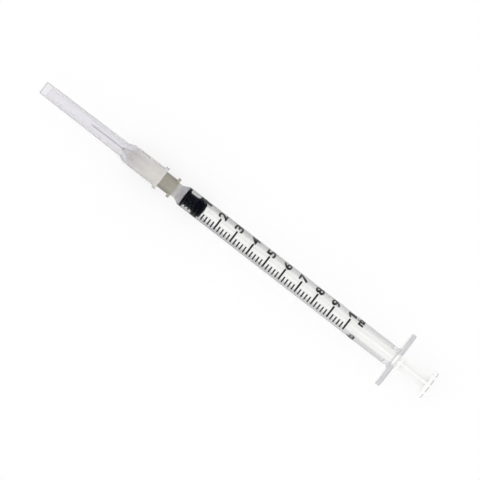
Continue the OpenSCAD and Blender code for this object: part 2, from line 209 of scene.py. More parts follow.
def needle_steel():
    """Steel with the fine long lines that drawing leaves."""
    finish, tree, shader = new_finish("needle_steel", {"Metallic": 1.0})
    die_lines = noise(tree, DIE_LINE_W, DIE_LINE_STRETCH)
    tint(tree, shader, spread(tree, die_lines), STEEL_DARK, STEEL_LIGHT)
    tree.links.new(spread(tree, die_lines, *STEEL_ROUGH), shader.inputs["Roughness"])
    bump(tree, shader, die_lines, DIE_LINE_DEPTH)
    return finish


steel_finish = counted(needle_steel())

# %% [markdown]
# The resin that holds the tube looks dark and glassy, because it wets the steel and mirrors the tube's
# root. A dark grey body with a smooth gloss and a little transmission shows that. Full glass would lose
# most of its light between two faces that lie so close.

# %% Hardened resin
RESIN_VALUES = {"Roughness": 0.12, "IOR": 1.52, "Transmission Weight": 0.1}
RESIN_DARK = (0.05, 0.05, 0.06)
RESIN_LIGHT = (0.09, 0.09, 0.10)
RESIN_CLOUD = 0.3 * MM
RESIN_WAVE = 0.01 * MM


def resin():
    """Dark, glassy resin with a slightly uneven skin."""
    finish, tree, shader = new_finish("resin", RESIN_VALUES)
    cloud = noise(tree, RESIN_CLOUD)
    tint(tree, shader, spread(tree, cloud), RESIN_DARK, RESIN_LIGHT)
    bump(tree, shader, cloud, RESIN_WAVE)
    return finish


resin_finish = counted(resin())

# %% [markdown]
# The stopper is black rubber, wiped with silicone oil so that it slides. The oil is a thin clear coat,
# and under it the rubber is dull with a fine grain. It lies against the wall in oil, so little gloss is
# left of either.

# %% Black rubber
RUBBER_VALUES = {"Coat Weight": 0.01, "Coat Roughness": 0.12, "IOR": 1.52, "Specular IOR Level": 0.02}
RUBBER_DARK = (0.0015, 0.0025, 0.006)
RUBBER_LIGHT = (0.0035, 0.005, 0.011)
RUBBER_ROUGH = (0.42, 0.62)
RUBBER_GRAIN = 0.09 * MM
RUBBER_DETAIL = 6.0
RUBBER_DEPTH = 0.004 * MM


def stopper_rubber():
    """Dull black rubber with a fine grain under a film of oil."""
    finish, tree, shader = new_finish("stopper_rubber", RUBBER_VALUES)
    grain = noise(tree, RUBBER_GRAIN, detail=RUBBER_DETAIL)
    tint(tree, shader, spread(tree, grain), RUBBER_DARK, RUBBER_LIGHT)
    tree.links.new(spread(tree, grain, *RUBBER_ROUGH), shader.inputs["Roughness"])
    bump(tree, shader, grain, RUBBER_DEPTH)
    return finish


rubber_finish = counted(stopper_rubber())

# %% [markdown]
# Some finishes change from place to place: a scuffed edge, a milky foot. The place is the shaded point's
# own coordinates, and a few sums on it pick out a stretch of the part. Vertex paint could do the same, but
# the frame's meshes are left alone.

# %% Sums and places in a material
def calc(tree, operation, a, b=0.0):
    """One sum of two numbers or sockets, such as "MULTIPLY" or "MAXIMUM"."""
    return add_node(tree, "ShaderNodeMath", {0: a, 1: b}, operation=operation).outputs["Value"]


def place_of(tree):
    """The shaded point's X, the size of its Y and of its Z, and its distance from the axis, in metres."""
    place = add_node(tree, "ShaderNodeTexCoord").outputs["Object"]
    parts = add_node(tree, "ShaderNodeSeparateXYZ", {"Vector": place}).outputs
    squares = [calc(tree, "MULTIPLY", parts[name], parts[name]) for name in "YZ"]
    aside, above = [calc(tree, "ABSOLUTE", parts[name]) for name in "YZ"]
    out = calc(tree, "SQRT", calc(tree, "ADD", *squares))
    return {"along": parts["X"], "aside": aside, "above": above, "out": out}


# %% [markdown]
# The rod is polypropylene with white pigment. Pigmented plastic lets a little light wander under its
# surface, which softens the shading of the thin ribs, so it gets some subsurface scattering. The mould's
# fine grain breaks up its gloss. The ends of the thumb rest's ridges are painted grey, as painted shade
# on their rear edges.

# %% White rod plastic
PLASTIC_IOR = 1.49
ROD_VALUES = {"IOR": PLASTIC_IOR, "Subsurface Weight": 0.25, "Subsurface Scale": 0.6 * MM,
              "Subsurface Radius": (1.0, 0.95, 0.9)}
ROD_DARK = (0.93, 0.93, 0.92)
ROD_LIGHT = (0.965, 0.965, 0.955)
ROD_ROUGH = (0.32, 0.46)
ROD_GRAIN = 0.12 * MM
ROD_GRAIN_DEPTH = 0.003 * MM
ROD_FLOW = 1.5 * MM
ROD_FLOW_STRETCH = (4, 1, 1)
# Painted shade: grey put on the ends of the thumb rest's ridges, as the shade of their rear edges.
RIDGE_SHADE = (0.30, 0.30, 0.295)
RIDGE_SHADE_R = (4.1 * MM, 4.5 * MM)
RIDGE_FOOT = 0.3 * MM
RIDGE_SIDE = 0.25 * MM


def rod_plastic():
    """White plastic with flow lines, with painted shade on the ends of the thumb rest's ridges."""
    finish, tree, shader = new_finish("rod_plastic", ROD_VALUES)
    grain = noise(tree, ROD_GRAIN, detail=FINE_DETAIL)
    flow = noise(tree, ROD_FLOW, ROD_FLOW_STRETCH)
    white = blend(tree, spread(tree, flow), ROD_DARK, ROD_LIGHT)
    place = place_of(tree)
    on_ridge = ramp(tree, place["along"], thumb_x - RIDGE_FOOT, thumb_x - RIDGE_SIDE)
    # Painted shade: the ridge ends turn grey in the colour.
    ridge_shade = calc(tree, "MULTIPLY", on_ridge, ramp(tree, place["out"], *RIDGE_SHADE_R))
    tint(tree, shader, ridge_shade, white, RIDGE_SHADE)
    tree.links.new(spread(tree, grain, *ROD_ROUGH), shader.inputs["Roughness"])
    bump(tree, shader, grain, ROD_GRAIN_DEPTH)
    return finish


rod_finish = counted(rod_plastic())

# %% [markdown]
# Clear and half-clear plastic looks darker where it is seen aslant. A little of that is sight running
# through more of it; most is the shade of the surroundings that the bent surface shows. A volume inside the
# wall would be slow and grainy, so the grey is painted shade: a tint that grows as the view turns aslant,
# which renders fast.

# %% Slant, for painted shade
EVEN_BLEND = 0.5


def slant(tree, start, end):
    """Zero where clear plastic faces the view and one where it is seen aslant, where shade is painted."""
    facing = add_node(tree, "ShaderNodeLayerWeight", {"Blend": EVEN_BLEND}).outputs["Facing"]
    # Painted shade: this share turns the plastic's colour grey where it is seen aslant.
    return ramp(tree, facing, start, end)


# %% [markdown]
# The hub is tinted to tell the needle's size by colour, here a grey brown. It is half clear, so the nozzle
# inside it shows faintly. Rough glass mixed with plain colour does that. Towards its slanting edges it is
# painted darker, as painted shade. Both the facing and the shaded slanting colour have two shades with flow
# lines between them.

# %% Tinted hub plastic
HUB_VALUES = {"Roughness": 0.3, "IOR": PLASTIC_IOR, "Transmission Weight": 0.4}
HUB_FACING = ((0.53, 0.49, 0.41), (0.61, 0.57, 0.49))
HUB_SHADED_ASLANT = ((0.27, 0.26, 0.21), (0.33, 0.315, 0.26))
HUB_SLANT = (0.1, 0.5)
HUB_FLOW = 0.7 * MM
HUB_FLOW_STRETCH = (3, 1, 1)
HUB_GRAIN = 0.1 * MM
HUB_GRAIN_DEPTH = 0.004 * MM


def hub_plastic():
    """Half-clear grey-brown plastic with flow lines, with painted shade aslant."""
    finish, tree, shader = new_finish("hub_plastic", HUB_VALUES)
    flow = spread(tree, noise(tree, HUB_FLOW, HUB_FLOW_STRETCH))
    facing = blend(tree, flow, *HUB_FACING)
    aslant = blend(tree, flow, *HUB_SHADED_ASLANT)
    # Painted shade: the hub's colour darkens where it is seen aslant.
    tint(tree, shader, slant(tree, *HUB_SLANT), facing, aslant)
    bump(tree, shader, noise(tree, HUB_GRAIN), HUB_GRAIN_DEPTH)
    return finish


hub_finish = counted(hub_plastic())

# %% [markdown]
# A path tracer finds hardly any lamp light through bent clear walls. What lies inside them comes out much
# too dark, and more samples don't cure that. So rays that carry light to what lies inside pass such a wall
# straight, less a little, while what the eye sees through it is still bent. Two mixes with a transparent
# shader do it.

# %% Light through clear walls
def let_light_in(tree, shader, passed):
    """Let rays that carry light go straight through with the given share left; sight is still bent."""
    ray = add_node(tree, "ShaderNodeLightPath").outputs
    open_wall = add_node(tree, "ShaderNodeBsdfTransparent", {"Color": (passed, passed, passed, 1)})
    surface = shader.outputs["BSDF"]
    for kind in ("Is Diffuse Ray", "Is Shadow Ray"):
        mixed = add_node(tree, "ShaderNodeMixShader",
                         {"Fac": ray[kind], 1: surface, 2: open_wall.outputs["BSDF"]})
        surface = mixed.outputs["Shader"]
    tree.links.new(surface, tree.nodes["Material Output"].inputs["Surface"])


# %% [markdown]
# The cap is thin natural plastic with a frosted mould finish, so it scatters what shows through it. A
# slightly rough glass blurs the needle inside, and a share of plain pale colour gives the milky body. Its
# wide part is thicker, so from the cone to the mouth it grows milkier and a little warmer.

# %% Frosted cap plastic
CAP_VALUES = {"Roughness": 0.12, "IOR": PLASTIC_IOR}
CAP_MILK = (-9 * MM, -3 * MM)
CAP_TUBE = (0.90, 0.89, 0.92)
CAP_MOUTH = (0.87, 0.85, 0.83)
CAP_SHADED_ASLANT = (0.53, 0.52, 0.53)
CAP_CLEAR = (0.75, 0.55)
CAP_SLANT = (0.2, 0.6)
CAP_GRAIN = 0.08 * MM
CAP_GRAIN_DEPTH = 0.005 * MM
CAP_PASSES = 0.95


def cap_plastic():
    """Frosted plastic, half clear, milkier towards the mouth, with painted grey shade aslant."""
    finish, tree, shader = new_finish("cap_plastic", CAP_VALUES)
    mouth = ramp(tree, place_of(tree)["along"], *CAP_MILK)
    facing = blend(tree, mouth, CAP_TUBE, CAP_MOUTH)
    # Painted shade: grey where the cap is seen aslant.
    tint(tree, shader, slant(tree, *CAP_SLANT), facing, CAP_SHADED_ASLANT)
    tree.links.new(ramp(tree, mouth, 0, 1, *CAP_CLEAR), shader.inputs["Transmission Weight"])
    bump(tree, shader, noise(tree, CAP_GRAIN, detail=FINE_DETAIL), CAP_GRAIN_DEPTH)
    let_light_in(tree, shader, CAP_PASSES)
    return finish


cap_finish = counted(cap_plastic())

# %% [markdown]
# The barrel is clear polypropylene. Its tube is thin and looks clear from in front. Where it is seen aslant
# it is painted grey, more so near the nozzle: painted shade, for the shade of the surroundings that the
# bent wall shows. The grey sits on the outer face only. On both faces, an empty tube would be darkened four
# times over and look like smoke.

# %% Clear tube wall
WALL_CLEAR = (0.99, 0.99, 0.985)
WALL_SHADE_FRONT = (0.36, 0.36, 0.37)
WALL_SHADE_REAR = (0.62, 0.62, 0.63)
WALL_STRETCH = (10 * MM, 84 * MM)
WALL_SLANT = (0.08, 0.23)
FACE_MARGIN = 0.2 * MM


def tube_wall(tree, place):
    """The tube's colour: clear, but painted grey shade on the outer face where it is seen aslant."""
    # Painted shade: grey on the outer face where the tube is seen aslant, darker towards the nozzle.
    aslant = blend(tree, ramp(tree, place["along"], *WALL_STRETCH), WALL_SHADE_FRONT, WALL_SHADE_REAR)
    on_outside = ramp(tree, place["out"], bore_r + FACE_MARGIN, barrel_r - FACE_MARGIN)
    return blend(tree, calc(tree, "MULTIPLY", slant(tree, *WALL_SLANT), on_outside), WALL_CLEAR, aslant)


# %% [markdown]
# Where the moulding is thick it looks milky: in the nozzle, which is a shade warmer, and in the shoulder
# behind it. The milk stops just before the bore's end, so the stopper's front stays black and sharp.

# %% Milky nozzle and shoulder
NOZZLE_FOOT = 7.5 * MM
NOZZLE_FADE = (0.9 * MM, -0.2 * MM)
NOZZLE_MILK = (0.575, 0.57, 0.555)
SHOULDER_END = 9.3 * MM
SHOULDER_FADE = (0.15 * MM, -0.1 * MM)
SHOULDER_MILK = (0.45, 0.445, 0.475)


def fade(tree, value, middle, steps):
    """Go from 0 to 1 between two places, each given by its step from a middle."""
    return ramp(tree, value, *[middle + step for step in steps])


def front_milk(tree, place):
    """How milky the front end is, and in which colour."""
    in_nozzle = fade(tree, place["along"], NOZZLE_FOOT, NOZZLE_FADE)
    share = fade(tree, place["along"], SHOULDER_END, SHOULDER_FADE)
    return share, blend(tree, in_nozzle, SHOULDER_MILK, NOZZLE_MILK)


# %% [markdown]
# The flange and the fillet before it are thick too, and milky. The plate is painted darker grey: partly
# milk, partly painted shade of the surroundings that its edge shows. In the middle of the tube they are
# left clear, because there one looks through a thin wall at the white rod. Over the rod the plate's narrow
# edge is painted nearly white, a painted stand-in for the lit rod seen through it.

# %% Milky flange, with painted shade and the rod's white painted on
FLANGE_FADE = (-2.6 * MM, -1.4 * MM)
PLATE_FADE = (-1 * MM, -0.1 * MM)
ROD_SIDE = (1.3 * MM, 2.1 * MM)
FILLET_R = (3.4 * MM, 4 * MM)
EDGE_FADE = (-0.35 * MM, -0.1 * MM)
FILLET_MILK = (0.82, 0.82, 0.83)
# The plate's grey is partly milk, partly painted shade; the white after it is the lit rod painted on the
# plate's edge.
PLATE_MILK_AND_SHADE = (0.63, 0.625, 0.645)
PAINTED_ROD_WHITE = (0.98, 0.98, 0.98)
plate_top = cad_bounds[1].z


def rear_milk(tree, place):
    """How milky the rear end is, and in which colour, with painted shade on the plate and painted rod
    white.
    """
    beside_rod = ramp(tree, place["aside"], *ROD_SIDE)
    not_over_rod = calc(tree, "MAXIMUM", beside_rod, ramp(tree, place["out"], *FILLET_R))
    at_rear = fade(tree, place["along"], flange_x, FLANGE_FADE)
    at_plate = fade(tree, place["along"], flange_x, PLATE_FADE)
    on_edge = fade(tree, place["above"], plate_top, EDGE_FADE)
    # Painted light: where the rod lies under the plate's edge, its white is painted on.
    rod_white_painted = calc(tree, "MULTIPLY", calc(tree, "SUBTRACT", 1.0, beside_rod), on_edge)
    milk = blend(tree, at_plate, FILLET_MILK, PLATE_MILK_AND_SHADE)
    return calc(tree, "MULTIPLY", at_rear, not_over_rod), blend(tree, rod_white_painted, milk, PAINTED_ROD_WHITE)


# %% [markdown]
# These go together in one shader: the milk is plain colour, the clear stretch is glass. The gloss is weaker
# than that of polished glass, and long shallow streaks, left by the core that forms the bore, keep it from
# looking perfect.

# %% Barrel plastic
BARREL_VALUES = {"Roughness": 0.05, "IOR": PLASTIC_IOR, "Specular Tint": (0.22, 0.22, 0.22, 1)}
MILKY_CLEAR = 0.35
STREAK_W = 0.5 * MM
STREAK_STRETCH = (30, 1, 1)
STREAK_DEPTH = 0.002 * MM
BARREL_PASSES = 0.99


def barrel_plastic():
    """Clear plastic with long streaks, milky where the moulding is thick, with painted shade aslant."""
    finish, tree, shader = new_finish("barrel_plastic", BARREL_VALUES)
    place = place_of(tree)
    front, front_colour = front_milk(tree, place)
    rear, rear_colour = rear_milk(tree, place)
    tint(tree, shader, rear, blend(tree, front, tube_wall(tree, place), front_colour), rear_colour)
    clear = ramp(tree, calc(tree, "MAXIMUM", front, rear), 0, 1, 1.0, MILKY_CLEAR)
    tree.links.new(clear, shader.inputs["Transmission Weight"])
    bump(tree, shader, noise(tree, STREAK_W, STREAK_STRETCH), STREAK_DEPTH)
    let_light_in(tree, shader, BARREL_PASSES)
    return finish


barrel_finish = counted(barrel_plastic())

# %% [markdown]
# The scale is printed in black ink that dries a little uneven. Real ink this thin hardly shades the rod
# below it, so light may pass it, as it passes the wall.

# %% Printing ink
INK_VALUES = {"Roughness": 0.38, "IOR": 1.5}
INK_DARK = (0.003, 0.003, 0.004)
INK_LIGHT = (0.010, 0.010, 0.010)
INK_MOTTLE = 0.15 * MM
INK_DEPTH = 0.002 * MM
INK_PASSES = 0.9


def ink():
    """Black ink, slightly mottled."""
    finish, tree, shader = new_finish("ink", INK_VALUES)
    mottle = noise(tree, INK_MOTTLE, detail=FINE_DETAIL)
    tint(tree, shader, spread(tree, mottle), INK_DARK, INK_LIGHT)
    bump(tree, shader, mottle, INK_DEPTH)
    let_light_in(tree, shader, INK_PASSES)
    return finish


ink_finish = counted(ink())

# %% [markdown]
# A part of the frame takes a finish through its own material slot. Its mesh is never touched.

# %% Give the frame's parts their finishes
part_finish = {
    "barrel": barrel_finish,
    "plunger_rod": rod_finish,
    "needle_hub": hub_finish,
    "cannula": steel_finish,
    "needle_cap": cap_finish,
    "stopper": rubber_finish,
    "adhesive": resin_finish,
}
for part, finish in part_finish.items():
    node_mesh = frame["nodes"][part].data
    node_mesh.materials.clear()
    node_mesh.materials.append(finish)
    print(part, "gets", finish.name)

# %% [markdown]
# The scale is fifty-one lines, one for each 0.02 ml, and every fifth is longer. This is what Geometry Nodes
# are for: one line is shaped once, bent round the barrel, and set out along it by count and spacing.
# An array modifier could repeat one line too, but not skip each fifth. Each line is a thin closed strip,
# because ink has a thickness and a closed strip exports as a clean solid.

# %% Sizes of the printed lines
LINE_COUNT = 51
LONG_EVERY = 5
INK_LIFT = 0.002 * MM
INK_T = 0.012 * MM
SHORT_W = 0.43 * MM
LONG_W = 0.54 * MM
SHORT_FROM, SHORT_TO = math.radians(-52), math.radians(-12)
LONG_FROM, LONG_TO = math.radians(-50), math.radians(25)
ARC_POINTS = 25

line_spacing = scale_length / (LINE_COUNT - 1)
print(f"{LINE_COUNT} lines, {line_spacing / MM:.3f} mm apart")

# %% [markdown]
# One line starts as a flat grid, one step wide and many steps long. Each point's place across becomes an
# angle, and sine and cosine put it on the barrel. Extruding that skin and joining it to a flipped copy of
# itself gives a closed strip.

# %% One line bent round the barrel
MERGE_SHARE = 0.25
HALF = 0.5


def vector(tree, x, y, z):
    """Three numbers or sockets as one vector."""
    return add_node(tree, "ShaderNodeCombineXYZ", {"X": x, "Y": y, "Z": z}).outputs["Vector"]


def bent_strip(tree, width, start, end, radius, thickness):
    """A thin closed strip round the X axis, from one angle to another."""
    flat = add_node(tree, "GeometryNodeMeshGrid",
                    {"Size X": width, "Size Y": 1.0, "Vertices X": 2, "Vertices Y": ARC_POINTS})
    point = add_node(tree, "GeometryNodeInputPosition").outputs["Position"]
    across = add_node(tree, "ShaderNodeSeparateXYZ", {"Vector": point}).outputs
    share = calc(tree, "ADD", across["Y"], HALF)
    turn = calc(tree, "MULTIPLY", share, calc(tree, "SUBTRACT", end, start))
    angle = calc(tree, "ADD", turn, start)
    round_y = calc(tree, "MULTIPLY", calc(tree, "SINE", angle), radius)
    round_z = calc(tree, "MULTIPLY", calc(tree, "COSINE", angle), radius)
    bent = add_node(tree, "GeometryNodeSetPosition", {
        "Geometry": flat.outputs["Mesh"], "Position": vector(tree, across["X"], round_y, round_z)})
    raised = add_node(tree, "GeometryNodeExtrudeMesh", {
        "Mesh": bent.outputs["Geometry"], "Offset Scale": thickness, "Individual": False})
    under = add_node(tree, "GeometryNodeFlipFaces", {"Mesh": bent.outputs["Geometry"]})
    shell = add_node(tree, "GeometryNodeJoinGeometry")
    tree.links.new(raised.outputs["Mesh"], shell.inputs["Geometry"])
    tree.links.new(under.outputs["Mesh"], shell.inputs["Geometry"])
    closed = add_node(tree, "GeometryNodeMergeByDistance", {
        "Geometry": shell.outputs["Geometry"], "Distance": calc(tree, "MULTIPLY", thickness, MERGE_SHARE)})
    return closed.outputs["Geometry"]


# %% [markdown]
# The whole scale is a row of points along X. Long lines go on the points whose number divides by five,
# short lines on the others. Named inputs hold every size, so the same tree could print another scale.

# %% Geometry Nodes for the scale lines
SCALE_INPUTS = {
    "Count": "Int", "Long every": "Int", "Start": "Float", "Spacing": "Float", "Radius": "Float",
    "Thickness": "Float", "Short width": "Float", "Short from": "Float", "Short to": "Float",
    "Long width": "Float", "Long from": "Float", "Long to": "Float", "Ink": "Material",
}


def scale_tree():
    """Lines bent round the barrel, set out along X, with every so many of them of the longer kind."""
    tree = bpy.data.node_groups.new("scale_lines", "GeometryNodeTree")
    for name, kind in SCALE_INPUTS.items():
        tree.interface.new_socket(name, in_out="INPUT", socket_type="NodeSocket" + kind)
    tree.interface.new_socket("Lines", in_out="OUTPUT", socket_type="NodeSocketGeometry")
    given = add_node(tree, "NodeGroupInput").outputs
    row = add_node(tree, "GeometryNodeMeshLine", {
        "Count": given["Count"], "Start Location": vector(tree, given["Start"], 0.0, 0.0),
        "Offset": vector(tree, given["Spacing"], 0.0, 0.0)})
    number = add_node(tree, "GeometryNodeInputIndex").outputs["Index"]
    is_short = calc(tree, "GREATER_THAN", calc(tree, "MODULO", number, given["Long every"]), HALF)
    together = add_node(tree, "GeometryNodeJoinGeometry")
    for kind, chosen in (("Short", is_short), ("Long", calc(tree, "LESS_THAN", is_short, HALF))):
        line = bent_strip(tree, given[kind + " width"], given[kind + " from"], given[kind + " to"],
                          given["Radius"], given["Thickness"])
        copies = add_node(tree, "GeometryNodeInstanceOnPoints",
                          {"Points": row.outputs["Mesh"], "Selection": chosen, "Instance": line})
        tree.links.new(copies.outputs["Instances"], together.inputs["Geometry"])
    real = add_node(tree, "GeometryNodeRealizeInstances", {"Geometry": together.outputs["Geometry"]})
    inked = add_node(tree, "GeometryNodeSetMaterial",
                     {"Geometry": real.outputs["Geometry"], "Material": given["Ink"]})
    add_node(tree, "NodeGroupOutput", {"Lines": inked.outputs["Geometry"]})
    return tree


# %% [markdown]
# A modifier runs the tree. Its inputs are set through the identifiers of the tree's sockets before anything
# is evaluated. The result is then copied to a plain mesh, so the finished piece needs no modifier.

# %% Make the scale lines
def run_tree(name, tree, values):
    """Run a Geometry Nodes tree on an empty mesh and keep what it makes as a plain mesh object."""
    maker = bpy.data.objects.new(name, bpy.data.meshes.new(name))
    bpy.context.scene.collection.objects.link(maker)
    modifier = maker.modifiers.new("maker", "NODES")
    modifier.node_group = tree
    for socket in tree.interface.items_tree:
        if socket.in_out == "INPUT":
            modifier[socket.identifier] = values[socket.name]
    seen = maker.evaluated_get(bpy.context.evaluated_depsgraph_get())
    made = bpy.data.meshes.new_from_object(seen)
    maker.modifiers.clear()
    maker.data = made
    made.name = name
    return maker


lines = run_tree("scale_lines", scale_tree(), {
    "Count": LINE_COUNT, "Long every": LONG_EVERY, "Start": scale_x, "Spacing": line_spacing,
    "Radius": barrel_r + INK_LIFT, "Thickness": INK_T, "Ink": ink_finish,
    "Short width": SHORT_W, "Short from": SHORT_FROM, "Short to": SHORT_TO,
    "Long width": LONG_W, "Long from": LONG_FROM, "Long to": LONG_TO,
})
print("scale lines:", len(lines.data.polygons), "faces")

# %% [markdown]
# The figures are letters of the built-in font, stretched to the printed ones' height and width. Letters are
# curves, so they become a mesh first. Only the 1 is drawn from seven listed corners: in this font it is a
# bare bar, while on a scale it has a flag, which tells it from a line.

# %% Flat figures
LETTER_BOLD = 0.032
LETTER_STEPS = 3
ONE_CORNER_SHARES = [(0.5, -0.5), (0.5, 0.5), (0, 0.5), (-0.5, 0.25), (-0.5, 0), (-0.1, 0.2), (-0.1, -0.5)]


def flat_one(height, width):
    """The figure 1 as a flat mesh: a stem with a flag."""
    shape = bmesh.new()
    shape.faces.new([shape.verts.new((x * width, y * height, 0)) for x, y in ONE_CORNER_SHARES])
    mesh = bpy.data.meshes.new("one")
    shape.to_mesh(mesh)
    shape.free()
    return mesh


def flat_letters(text, height, width, bold):
    """Text as a flat mesh, centred on the origin, with its height along Y and its width along X."""
    if text == "1":
        return flat_one(height, width)
    curve = bpy.data.curves.new("letters", "FONT")
    curve.body = text
    curve.offset = bold
    curve.resolution_u = LETTER_STEPS
    drawn = bpy.data.objects.new("letters", curve)
    bpy.context.scene.collection.objects.link(drawn)
    mesh = bpy.data.meshes.new_from_object(drawn.evaluated_get(bpy.context.evaluated_depsgraph_get()))
    bpy.data.objects.remove(drawn)
    low = Vector([min(v.co[i] for v in mesh.vertices) for i in range(3)])
    high = Vector([max(v.co[i] for v in mesh.vertices) for i in range(3)])
    size = high - low
    fit = Matrix.Diagonal((width / size.x, height / size.y, 1, 1))
    mesh.transform(fit @ Matrix.Translation(-(low + high) / 2))
    return mesh


# %% [markdown]
# A flat figure has long triangles, which would cut through the barrel when it is bent. So it is sliced
# into narrow bands across its width before it is wrapped. A bold outline can overlap itself and leave a
# second face over the first, so beside each edge only the largest face is kept. Extruding the flat faces
# and keeping them too gives the ink its thickness and closes it, with all faces outwards. Tops of the
# figures point to the needle.

# %% Letters wrapped round the barrel
SLICE = 0.12 * MM
DOUBLE_GAP = 0.001 * MM


def one_flat_layer(flat):
    """Turn all faces up, and where a bold outline overlaps itself keep the largest face beside an edge."""
    flat.normal_update()
    for face in flat.faces:
        if face.normal.z < 0:
            face.normal_flip()
    extra = set()
    for edge in flat.edges:
        for start in edge.verts:
            beside = [loop.face for loop in edge.link_loops if loop.vert == start]
            extra.update(sorted(beside, key=lambda face: face.calc_area())[:-1])
    bmesh.ops.delete(flat, geom=[face for face in flat.faces if face in extra], context="FACES")
    bmesh.ops.delete(flat, geom=[vert for vert in flat.verts if not vert.link_faces], context="VERTS")


def sort_faces(shape):
    """Put the faces in the order of their places, since an extrusion may order them anew each run."""
    by_place = sorted(shape.faces, key=lambda face: tuple(face.calc_center_median()))
    rank = {face: i for i, face in enumerate(by_place)}
    shape.faces.sort(key=lambda face: rank[face])


def wrapped_letters(shapes, text, height, width, mid_x, mid_angle, bold=LETTER_BOLD):
    """Add text to a bmesh as thin closed ink on the barrel, its middle at an x and an angle from +Z."""
    letters = bmesh.new()
    letters.from_mesh(flat_letters(text, height, width, bold))
    bmesh.ops.remove_doubles(letters, verts=letters.verts, dist=DOUBLE_GAP)
    for i in range(1, math.ceil(width / SLICE)):
        whole = letters.verts[:] + letters.edges[:] + letters.faces[:]
        cut_x = i * SLICE - width / 2
        bmesh.ops.bisect_plane(letters, geom=whole, plane_co=(cut_x, 0, 0), plane_no=(1, 0, 0))
    bmesh.ops.remove_doubles(letters, verts=letters.verts, dist=DOUBLE_GAP)
    bmesh.ops.dissolve_degenerate(letters, edges=letters.edges, dist=DOUBLE_GAP)
    one_flat_layer(letters)
    upper = bmesh.ops.extrude_face_region(letters, geom=letters.faces[:], use_keep_orig=True)
    lifted = {item for item in upper["geom"] if isinstance(item, bmesh.types.BMVert)}
    for vert in letters.verts:
        r = barrel_r + INK_LIFT + (INK_T if vert in lifted else 0)
        angle = mid_angle + vert.co.x / barrel_r
        vert.co = (mid_x - vert.co.y, r * math.sin(angle), r * math.cos(angle))
    sort_faces(letters)
    wrapped = bpy.data.meshes.new("wrapped")
    letters.to_mesh(wrapped)
    letters.free()
    shapes.from_mesh(wrapped)


def keep_mesh(name, shapes, finish):
    """Turn a bmesh into an object at the origin with one finish."""
    mesh = bpy.data.meshes.new(name)
    shapes.to_mesh(mesh)
    shapes.free()
    mesh.materials.append(finish)
    made = bpy.data.objects.new(name, mesh)
    bpy.context.scene.collection.objects.link(made)
    return made


# %% [markdown]
# The figures 1 to 9 stand at the tenths of a millilitre, and 1 again at the full one. The unit stands past
# the last line, on both sides of the scale, a little bolder on one. Each is plain and generic.

# %% Figures and unit marks
FIGURE_H = 2.86 * MM
FIGURE_W = 2.55 * MM
ONE_W = 1.9 * MM
FIGURE_ANGLE = math.radians(50.3)
UNIT_H = 2.5 * MM
UNIT_W = 4.4 * MM
UNIT_PAST = 3.0 * MM
UNIT_ANGLES_AND_BOLD = ((math.radians(66), 0.05), (math.radians(-81), 0.03))
TENTHS = 10

tenth = scale_length / TENTHS
figures = bmesh.new()
for step in range(1, TENTHS + 1):
    figure = str(step % TENTHS or 1)
    wrapped_letters(figures, figure, FIGURE_H, ONE_W if figure == "1" else FIGURE_W,
                    scale_x + step * tenth, FIGURE_ANGLE)
numbers = keep_mesh("scale_numbers", figures, ink_finish)
units = bmesh.new()
for angle, bold in UNIT_ANGLES_AND_BOLD:
    wrapped_letters(units, "mL", UNIT_H, UNIT_W, scale_x + scale_length + UNIT_PAST, angle, bold)
unit_marks = keep_mesh("unit_marks", units, ink_finish)
print("figures:", len(numbers.data.polygons), "faces, unit marks:", len(unit_marks.data.polygons))

# %% [markdown]
# The rest of the pieces made here are round. They are turned: an outline of points, each a place along X
# and a radius, is swept round the axis. Corners get a small radius first, because moulded rubber and resin
# have no sharp ones.

# %% Rounded outline
ARC_STEPS = 6


def rounded_outline(corners):
    """Points of (x, radius) from corners of (x, radius, fillet), each fillet drawn as an arc."""
    points = []
    for i, (x, r, fillet) in enumerate(corners):
        here = Vector((x, r))
        if not fillet:
            points.append(here)
            continue
        to_last = (Vector(corners[i - 1][:2]) - here).normalized()
        to_next = (Vector(corners[(i + 1) % len(corners)][:2]) - here).normalized()
        half = to_last.angle(to_next) / 2
        middle = here + (to_last + to_next).normalized() * fillet / math.sin(half)
        start = here + to_last * fillet / math.tan(half) - middle
        end = here + to_next * fillet / math.tan(half) - middle
        sweep = start.angle_signed(end)
        for k in range(ARC_STEPS + 1):
            points.append(middle + Matrix.Rotation(-sweep * k / ARC_STEPS, 2) @ start)
    return points


# %% [markdown]
# The turning itself makes one ring of points for each point of the outline, and a single point where the
# outline meets the axis, so that poles close. A Screw modifier would do it too, but leaves doubled points
# on the axis to clean up.

# %% Turning
TURN_SIDES = 128
POLE_R = 0.0001 * MM
SHARP_FROM = math.radians(40)


def turned(name, outline, finish, sides=TURN_SIDES):
    """Turn a closed outline about X into a smooth mesh object; points at radius zero become poles."""
    shape = bmesh.new()
    rings = []
    for x, r in outline:
        count = sides if r > POLE_R else 1
        angles = [2 * math.pi * i / count for i in range(count)]
        rings.append([shape.verts.new((x, r * math.sin(a), r * math.cos(a))) for a in angles])
    for ring, after in zip(rings, rings[1:] + rings[:1]):
        for i in range(sides):
            places = ((ring, i), (ring, i + 1), (after, i + 1), (after, i))
            corners = list(dict.fromkeys(points[k % len(points)] for points, k in places))
            if len(corners) > 2:
                shape.faces.new(corners)
    bmesh.ops.recalc_face_normals(shape, faces=shape.faces)
    made = keep_mesh(name, shape, finish)
    made.data.shade_smooth()
    made.data.set_sharp_from_angle(angle=SHARP_FROM)
    return made


# %% [markdown]
# The real stopper is squeezed by the bore, which the frame's solid can't show, as solids may not overlap.
# So the rubber seen here is a new piece in its place. Its two seals are a hair wider than the bore: where
# rubber wets the wall there is no air behind the plastic, and the black spreads to the barrel's full width,
# while the waist looks narrow, as in a real syringe. Its front lip almost meets the bore's end.

